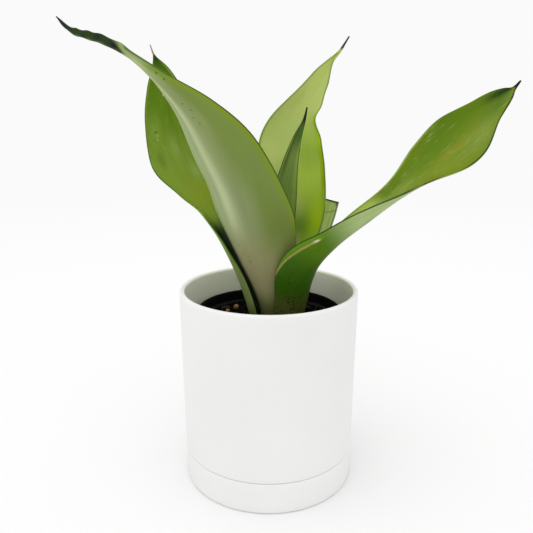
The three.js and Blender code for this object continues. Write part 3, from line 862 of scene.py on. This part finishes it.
prill = grain_finish("feed_prill_shell", "8a6a1c", "5e4310", 600, 0.4, 0.00008, 0.5)
bark = grain_finish("bark", "3a2614", "1b1109", 500, 0.9, 0.0005, 0.2)
perlite = grain_finish("perlite", "8d8677", "6d675b", 900, 0.9, 0.0004, 0.2)
GRAINS = {
    "prill": (prill, "feed_prill", 0.03, 1),
    "chip": (bark, "bark", 0.12, 0.7),
    "grain": (perlite, "perlite", 0.15, 0.85),
}
PEBBLES = [
    ("feed_prill_1", (4.6, 4.6, 4.4), 0),
    ("feed_prill_2", (3.4, 3.4, 3.2), 0),
    ("feed_prill_3", (3.8, 3.6, 3.4), 0),
    ("feed_prill_4", (4.0, 4.0, 3.8), 0),
    ("bark_chip_1", (7, 4.5, 2.6), 25),
    ("bark_chip_2", (8, 4, 2.4), -40),
    ("bark_chip_3", (7, 5, 2.4), 60),
    ("bark_chip_4", (8, 4, 2.6), 60),
    ("perlite_grain_1", (3.4, 3, 2.6), 40),
    ("perlite_grain_2", (3, 2.6, 2.4), 10),
]
for seed, (node, size, turn) in enumerate(PEBBLES, 40):
    name = node.split("_", 1)[1]
    material, slot, rough, square = GRAINS[name[:-2]]
    dress(make_pebble(name, node, size, turn, seed, rough, square), material, slot, node)
dress(make_twig(), bark, "bark", "dry_twig")

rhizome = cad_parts["rhizome_and_roots"]
rhizome.data.materials.clear()
rhizome.data.materials.append(rhizome_finish())


# -------- the leaves
def edged(b, tone, band, width, line, line_width, share=1.0):
    """A paler band along the margins with a fine dark line on the very edge."""
    tone = blend(tone, pigment(band), soften(width - b.to_margin, 0, width * 0.5) * share)
    return blend(tone, pigment(line), soften(line_width - b.to_margin, 0, line_width * 0.6) * share)


def front_silver():
    """Silver-green leaf, seen from its keeled outer face, drawn out to a dry, twisted tip.

    A painted highlight lies along the keel and moves towards the left margin higher up. The flank
    towards the left margin is painted paler as painted light, the other flank darker as painted shade.
    """
    b = Blade("leaf_front_silver", 320, 124)
    t, s = b.t, b.s
    inside = (b.face > 0) * 1.0
    keel = np.interp(t, [0.1, 0.25, 0.4, 0.5, 0.6, 1], [0.05, 0.16, 0.35, 0.45, 0.6, 0.6])
    # painted light and shade: the flank towards the left margin is paler, the other flank darker
    tone = blend(pigment("70843c"), pigment("869460"), soften(s, -0.45, 0.15))
    tone = wash(tone, "889268", bell(t, 0.27, 0.08) * soften(s, -0.6, -0.2) * 0.7)
    # painted highlight along the keel, then painted light on the flank beyond it
    tone = wash(tone, "b6c294", bell(s, keel, 0.16) * soften(t, 0.15, 0.3) * 0.88)
    tone = wash(tone, "9eb07c", soften(s, keel + 0.15, keel + 0.3) * 0.7)
    # painted highlight: the upper part, which faces up, is painted paler
    tone = wash(tone, "9cad74", soften(t, 0.56, 0.66) * 0.85)
    tone = wash(tone, "a09a74", soften(0.26 - t, 0, 0.12) * 0.85)
    # painted shade: the base, down inside the pot, is painted darker
    tone = wash(tone, "5c6234", soften(0.11 - t, 0, 0.06))
    tone = wash(tone, "4c7018", inside)
    tone = b.paint(
        tone,
        [
            ("64762c", 0.24, -0.7, 0.07, 0.3, 0.7),
            ("8f9a60", 0.48, -0.2, 0.03, 0.12, 0.3),
            ("6a7c34", 0.56, -0.75, 0.03, 0.2, 0.4),
            # painted highlight: a pale patch high on the blade
            ("c3cda6", 0.66, 0.2, 0.025, 0.35, 0.5),
            ("8f8c5c", 0.2, 0.1, 0.04, 0.15, 0.5),
        ],
        1 - inside,
    )
    wide = soften(t, 0.17, 0.25) * (1 - soften(t, 0.6, 0.68))
    tone = edged(b, tone, "72891c", 4.5, "2b3c0a", 1.1, wide * (s < 0))
    tone = edged(b, tone, "9cad70", 2.0, "6c7c3c", 0.5, wide * (s > 0))
    fold = soften(t, 0.56, 0.6) * (1 - soften(t, 0.7, 0.72)) * (s < 0)
    tone = wash(tone, "46611a", fold * soften(1.7 - b.to_margin, 0, 0.9) * 0.9)
    dry = soften(t + 0.02 * np.sin(3 * s + 1), 0.71, 0.735)
    tone = wash(tone, "253a0e", dry)
    tone = wash(tone, "2f3a2c", dry * soften(s, -0.1, 0.5) * soften(t, 0.78, 0.84))
    tone = wash(tone, "5f7a30", dry * bell(s, 0.1, 0.2) * (0.5 + 0.5 * np.sin(130 * t)) * 0.6)
    tone = wash(tone, "6f8a44", dry * bell(s, 0.8, 0.25) * (1 - soften(t, 0.84, 0.88)) * 0.5)
    tone = wash(tone, "070a04", b.spot(0.74, -0.1, 0.015, 0.8) * 0.95)
    tone = wash(tone, "0a0d06", b.spot(0.86, 0.1, 0.014, 0.5) * 0.85)
    tone = wash(tone, "0f150a", b.spot(0.8, -0.6, 0.012, 0.5) * 0.8)
    tone = wash(tone, "1c211c", soften(t, 0.9, 0.95))
    crinkle = soften(t, 0.7, 0.8) * 0.16 * np.sin(95 * t + 2 * s)
    return b.body(b.grid(push=crinkle), tone)


def left_back():
    """Green leaf behind on the left: its inner face looks forward, darker towards the tip."""
    b = Blade("leaf_left_back")
    t, s = b.t, b.s
    inside = (b.face > 0) * 1.0
    tone = blend(pigment("728c2c"), pigment("5a7a08"), soften(t, 0.42, 0.6))
    tone = wash(tone, "3e5e04", soften(t, 0.58, 0.78))
    tone = wash(tone, "849416", b.spot(0.34, -0.1, 0.05, 0.6) * 0.7)
    # painted shade: the inner face low in the gutter is painted near black
    tone = wash(tone, "0e2800", soften(0.29 - t, 0, 0.05) * inside)
    tone = b.paint(
        tone,
        [
            ("4f6c0c", 0.6, 0.08, 0.1, 0.07, 0.6),
            ("8aa050", 0.47, -0.1, 0.03, 0.13, 0.5),
            ("8aa056", 0.4, 0.2, 0.02, 0.15, 0.6),
            ("4c6a10", 0.45, -0.65, 0.02, 0.1, 0.6),
            ("7f9a3c", 0.53, -0.65, 0.04, 0.25, 0.5),
            ("5a7418", 0.5, 0.45, 0.06, 0.1, 0.4),
            ("1f3600", 0.81, 0, 0.04, 1.5, 0.9),
        ],
        inside,
    )
    tone = wash(tone, "6c8c1c", (1 - inside) * 0.85)
    tone = wash(tone, "7c8a58", (1 - inside) * soften(0.22 - t, 0, 0.12) * 0.9)
    tone = wash(tone, "4c5a24", (1 - inside) * soften(0.08 - t, 0, 0.05))
    tone = edged(b, tone, "6f8c24", 1.8, "44600f", 0.5, soften(t, 0.3, 0.4) * (1 - soften(t, 0.7, 0.8)))
    low = soften(0.3 - t, 0, 0.04) * soften(t, 0.12, 0.2)
    tone = wash(tone, "2c4a08", soften(1.0 - b.to_margin, 0, 0.5) * low * 0.8)
    tone = wash(tone, "a08a70", soften(t, 0.835, 0.86))
    return b.body(b.grid(), tone)


def right_back():
    """Lime leaf behind on the right: pale on its left half, greener on the right, margin yellow."""
    b = Blade("leaf_right_back")
    t, s = b.t, b.s
    inside = (b.face > 0) * 1.0
    green = soften(s, 0.05, 0.35) * (1 - soften(t, 0.5, 0.64))
    tone = wash(pigment("aebe68"), "98b440", green)
    tone = wash(tone, "c0d078", bell(t, 0.46, 0.06) * soften(0.1 - s, 0, 0.3) * 0.85)
    tone = wash(tone, "b4d04c", bell(t, 0.37, 0.06) * soften(s, -0.2, 0.3) * 0.8)
    tone = wash(tone, "b0d01c", bell(t, 0.27, 0.05) * soften(s, 0.2, 0.7) * 0.95)
    tone = wash(tone, "4c7c04", b.spot(0.25, 0.1, 0.035, 0.45) * 0.7)
    tone = wash(tone, "6f9c10", soften(0.23 - t, 0, 0.08))
    tone = b.paint(
        tone,
        [
            ("b4c670", 0.52, -0.15, 0.05, 0.4, 0.5),
            ("a2b058", 0.62, -0.5, 0.03, 0.2, 0.5),
            ("a2b25a", 0.78, 0, 0.08, 1.0, 0.8),
            ("6c8420", 0.84, -0.4, 0.03, 0.5, 0.8),
            ("4c6a18", 0.87, -0.4, 0.02, 0.4, 0.9),
        ],
        inside,
    )
    tone = wash(tone, "8aa04c", (1 - inside) * 0.8)
    right = soften(t, 0.28, 0.36) * (1 - soften(t, 0.58, 0.64)) * (s > 0)
    tone = edged(b, tone, "98b408", 5.0, "56720c", 0.9, right)
    tone = edged(b, tone, "8ea444", 1.6, "6a8030", 0.5, 1 - right - soften(t, 0.8, 0.85))
    tone = wash(tone, "2c3020", soften(t, 0.9, 0.93))
    return b.body(b.grid(), tone)


def young_centre():
    """Young leaf in the middle, still rolled: faint stripes and a dark tip; the tip's fold is not
    modelled.
    """
    b = Blade("leaf_young_centre", 170, 96)
    t, s = b.t, b.s
    tone = blend(pigment("70883a"), pigment("64803a"), 0.5 + 0.5 * np.cos(22 * s))
    tone = wash(tone, "8ca24c", bell(s, 0.8, 0.2) * (1 - soften(t, 0.7, 0.8)) * 0.7)
    tone = wash(tone, "8ca24c", soften(0.5 - t, 0, 0.2) * 0.5)
    tone = wash(tone, "446016", soften(t, 0.62, 0.75))
    tone = wash(tone, "3c500c", bell(s, -0.6, 0.25) * soften(t, 0.45, 0.6) * 0.8)
    tone = wash(tone, "12180a", soften(t, 0.8, 0.88))
    tone = wash(tone, "243a04", soften(0.3 - t, 0, 0.15))
    tone = edged(b, tone, "7c9438", 1.0, "3a5010", 0.35, 1 - soften(t, 0.65, 0.75))
    return b.body(b.grid(), tone)


def right_arching():
    """Green leaf arching to the right: gutter below, turned flat above, scratched and scarred."""
    b = Blade("leaf_right_arching", 320, 128)
    t, s = b.t, b.s
    inside = (b.face > 0) * 1.0
    tone = blend(pigment("60780a"), pigment("687e10"), soften(s, -0.3, 0.5))
    tone = b.paint(
        tone,
        [
            ("76881c", 0.54, 0.4, 0.06, 0.6, 0.8),
            ("5a7a04", 0.56, -0.4, 0.08, 0.35, 0.8),
            ("7c903c", 0.68, 0.45, 0.07, 0.45, 0.8),
            ("86861c", 0.6, 0.05, 0.05, 0.12, 0.6),
            ("52701c", 0.77, 0.15, 0.06, 0.45, 0.9),
            ("507408", 0.66, -0.7, 0.08, 0.3, 0.6),
            ("1f4200", 0.79, -0.6, 0.05, 0.3, 1.0),
            ("0c2404", 0.85, -0.62, 0.06, 0.5, 1.0),
            ("6c7c48", 0.85, 0.55, 0.03, 0.3, 0.8),
            ("82963c", 0.45, -0.05, 0.04, 0.4, 0.7),
            ("567404", 0.46, -0.6, 0.04, 0.25, 0.8),
        ],
        inside,
    )
    tone = wash(tone, "a8bc5c", inside * soften(0.43 - t, 0, 0.05))
    under = blend(pigment("4c7000"), pigment("a4b880"), soften(t, 0.25, 0.35))
    under = wash(under, "6e8440", b.spot(0.36, 0.12, 0.02, 0.3) * 0.8)
    under = wash(under, "345a0a", soften(0.25 - t, 0, 0.08))
    under = wash(under, "505628", soften(0.13 - t, 0, 0.05) * 0.9)
    under = wash(under, "2c3410", soften(0.08 - t, 0, 0.05))
    tone = blend(tone, under, 1 - inside)
    near = soften(s, 0.5, 0.9)
    low = (1 - soften(t, 0.56, 0.64)) * soften(t, 0.12, 0.2)
    tone = edged(b, tone, "88a040", 1.6, "6a8424", 0.4, low * (1 - near))
    tone = wash(tone, "2c3c08", near * soften(1.4 - b.to_margin, 0, 0.6) * soften(t, 0.53, 0.6) * inside)
    tone = wash(tone, "5a4418", near * soften(1.0 - b.to_margin, 0, 0.5) * bell(t, 0.49, 0.03))
    tear = np.interp(t, [0.14, 0.17, 0.2, 0.25], [1.0, 0.88, 0.8, 0.78])
    beyond = (s > tear) * soften(t, 0.13, 0.15) * (1 - soften(t, 0.26, 0.28))
    tone = wash(tone, "5c8418", beyond * 0.8)
    torn = soften(t, 0.14, 0.15) * (1 - soften(t, 0.25, 0.26))
    line = soften(0.7 - np.abs(s - tear) * b.half, 0, 0.4) * torn
    tone = wash(tone, "a8905c", line * (1 - inside) * 0.85)
    rim = (s > 0) * soften(t, 0.12, 0.15) * (1 - soften(t, 0.44, 0.48))
    tone = wash(tone, "14260a", rim * soften(0.9 - b.to_margin, 0, 0.4) * 0.9)
    tone = wash(tone, "ead6c4", b.spot(0.25, 0.8, 0.006, 0.03) * (1 - inside))
    tone = wash(tone, "1e1a14", soften(t, 0.9, 0.93))
    return b.body(b.grid(), tone)


def cut_stub():
    """Stub of an older leaf, cut straight across: greyed green with a dark, dried top edge."""
    b = Blade("leaf_cut_stub", 140, 96)
    t, s = b.t, b.s
    tone = blend(pigment("aabe66"), pigment("b6c87c"), 0.5 + 0.5 * np.cos(9 * s))
    tone = wash(tone, "6c8038", bell(t, 0.83 + 0.05 * s, 0.01) * soften(s, -1, 0.2) * 0.8)
    tone = wash(tone, "3a3c1c", soften(t, 0.965, 0.99))
    tone = wash(tone, "2c3014", b.spot(0.97, 0.85, 0.04, 0.25) * 0.9)
    tone = wash(tone, "4a5a24", soften(0.9 - b.to_margin, 0, 0.5) * 0.7)
    tone = wash(tone, "4c5a20", soften(0.5 - t, 0, 0.3))
    return b.body(b.grid(taper=0), tone)


def sprinkle(seed, clusters):
    """Specks in loose clusters of (t, s, count, size, colour), drawn evenly round each middle."""
    random = np.random.default_rng(seed)
    specks = []
    for t, s, count, size, shade in clusters:
        places = random.uniform(-1, 1, (count, 2)) * (0.03, 0.15) + (t, s)
        specks += [(along, across, size, shade) for along, across in places.tolist()]
    return specks


SILVER_SPECKS = sprinkle(
    61, [(0.6, -0.4, 2, 0.8, "3c4a24"), (0.5, -0.1, 4, 0.7, "52623a"), (0.2, 0.2, 4, 0.8, "5c5c3c")]
)
LEFT_SPECKS = sprinkle(
    62, [(0.6, 0, 2, 1.0, "a8b878"), (0.5, -0.7, 2, 0.9, "a8b878"), (0.5, -0.5, 2, 0.9, "3c5008")]
)
RIGHT_SPECKS = sprinkle(63, [(0.1, 0.2, 6, 1.0, "1c2008"), (0.5, 0.8, 1, 0.9, "b8c490")])
SKINS = [
    (front_silver, "leaf_front_silver", "leaf_silver", "silver_leaf_skin"),
    (left_back, "leaf_left_back", "leaf_green", "left_leaf_skin"),
    (right_back, "leaf_right_back", "leaf_lime", "lime_leaf_skin"),
    (young_centre, "leaf_young_centre", "leaf_dark", "young_leaf_skin"),
    (right_arching, "leaf_right_arching", "leaf_green", "right_leaf_skin"),
    (cut_stub, "leaf_cut_stub", "leaf_silver", "stub_leaf_skin"),
]
STREAKS = [
    ((0.86, 0.89, 0.78), 0.4, {"specks": SILVER_SPECKS}),
    ((0.8, 0.86, 0.6), 0.45, {"scratch": 0.15, "sheen": 0.1, "specks": LEFT_SPECKS}),
    ((0.88, 0.92, 0.76), 0.35, {}),
    ((0.8, 0.84, 0.7), 0.5, {}),
    ((0.78, 0.85, 0.5), 0.5, {"scratch": 0.3, "sheen": 0.1, "dirt": 75, "specks": RIGHT_SPECKS}),
    ((0.85, 0.88, 0.75), 0.4, {}),
]
for (make, leaf, slot, name), (streak, depth, marks) in zip(SKINS, STREAKS):
    dress(make(), leaf_finish(name, leaf, streak, depth, **marks), slot, leaf)


# -------- floor, light and camera
FLOOR_RADIUS = 6000
# painted light: the floor near the saucer is paler than far away
FLOOR_NEAR_PAINTED_LIGHT, FLOOR_AWAY = 0.84, 0.796


def make_floor():
    """A plain pale floor: a wide flat disc, painted a little paler round the saucer as painted light
    that lifts the pot's shade.
    """
    radius = np.linspace(0, FLOOR_RADIUS, 12)
    path = np.stack([radius, 0 * radius - 0.05], 1)
    floor = skin("floor", turn_round(path, 64), start="point")
    f = Finish("pale_floor")
    apart = f.far(f.object_place())
    # painted light: paler near the saucer, against the pot's shade
    colour = f.mix(f.ramp(apart, 0.2, 1.6), (FLOOR_NEAR_PAINTED_LIGHT,) * 3, (FLOOR_AWAY,) * 3)
    f.give(Base_Color=colour, Roughness=0.9, Specular_IOR_Level=0.0)
    floor.data.materials.append(f.material)


def sun(name, azimuth, elevation, strength, spread):
    """A soft sun from an azimuth (0 is the front, 90 the right) and an elevation, in degrees."""
    lamp = bpy.data.lights.new(name, "SUN")
    lamp.energy = strength
    lamp.angle = math.radians(spread)
    holder = bpy.data.objects.new(name, lamp)
    bpy.context.scene.collection.objects.link(holder)
    holder.rotation_euler = (math.radians(90 - elevation), 0, math.radians(azimuth))


SKY_LIGHT = 0.956
CAMERA_PLACE = (0, -0.4027, 0.2606)
CAMERA_DOWN = 14.42  # degrees below level
CAMERA_LEFT = 0.23  # degrees

make_floor()
sun("key_light", -30, 72, 0.8, 70)

world = bpy.data.worlds.new("studio")
world.use_nodes = True
world.node_tree.nodes["Background"].inputs["Color"].default_value = (1, 1, 1, 1)
world.node_tree.nodes["Background"].inputs["Strength"].default_value = SKY_LIGHT
bpy.context.scene.world = world
bpy.context.scene.view_settings.view_transform = "Standard"

camera = bpy.data.cameras.new("camera")
camera.sensor_width = 36
camera.lens = 39.5
holder = bpy.data.objects.new("camera", camera)
holder.location = CAMERA_PLACE
holder.rotation_euler = (math.radians(90 - CAMERA_DOWN), 0, math.radians(CAMERA_LEFT))
bpy.context.scene.collection.objects.link(holder)
bpy.context.scene.camera = holder
